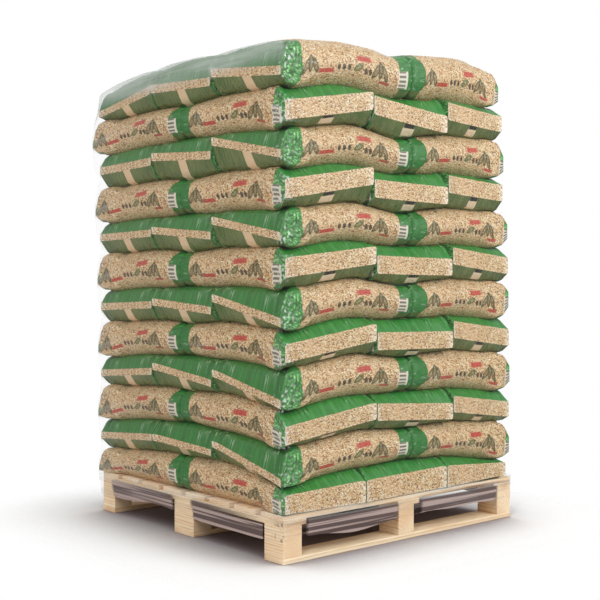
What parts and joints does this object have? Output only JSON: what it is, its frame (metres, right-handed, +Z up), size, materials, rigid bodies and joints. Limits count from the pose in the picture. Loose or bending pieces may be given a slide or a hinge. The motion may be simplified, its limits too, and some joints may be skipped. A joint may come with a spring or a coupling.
{
  "type": "pallet of sacks",
  "caption": "Wooden block pallet loaded with cross-laid layers of filled plastic sacks, held together by clear stretch film, with fork pockets on all four sides.",
  "frame": {"origin": "middle of the pallet's footprint, on the underside of its bottom boards", "axes": "+Z up; +X runs along the deck boards and the bottom boards, +Y along the stringers"},
  "size_m": [1.1466, 1.1766, 1.7218],
  "materials": {
    "pallet_wood": "rough sawn softwood, pale",
    "printed_sack": "printed polyethylene film, green ends and a tan middle, glossy",
    "clear_film": "clear stretch film, glossy"
  },
  "bodies": {
    "root": {"pallet_block_back_left": "pallet_wood", "pallet_block_back_middle": "pallet_wood", "pallet_block_back_right": "pallet_wood", "pallet_block_front_left": "pallet_wood", "pallet_block_front_middle": "pallet_wood", "pallet_block_front_right": "pallet_wood", "pallet_block_middle_left": "pallet_wood", "pallet_block_middle_middle": "pallet_wood", "pallet_block_middle_right": "pallet_wood", "pallet_bottom_board_back": "pallet_wood", "pallet_bottom_board_front": "pallet_wood", "pallet_bottom_board_middle": "pallet_wood", "pallet_deck_board_1": "pallet_wood", "pallet_deck_board_2": "pallet_wood", "pallet_deck_board_3": "pallet_wood", "pallet_deck_board_4": "pallet_wood", "pallet_deck_board_5": "pallet_wood", "pallet_deck_board_6": "pallet_wood", "pallet_deck_board_7": "pallet_wood", "pallet_deck_board_8": "pallet_wood", "pallet_stringer_left": "pallet_wood", "pallet_stringer_middle": "pallet_wood", "pallet_stringer_right": "pallet_wood", "sacks_layer_01": "printed_sack", "sacks_layer_02": "printed_sack", "sacks_layer_03": "printed_sack", "sacks_layer_04": "printed_sack", "sacks_layer_05": "printed_sack", "sacks_layer_06": "printed_sack", "sacks_layer_07": "printed_sack", "sacks_layer_08": "printed_sack", "sacks_layer_09": "printed_sack", "sacks_layer_10": "printed_sack", "sacks_layer_11": "printed_sack", "sacks_layer_12": "printed_sack", "stretch_film": "clear_film"}
  },
  "joints": []
}
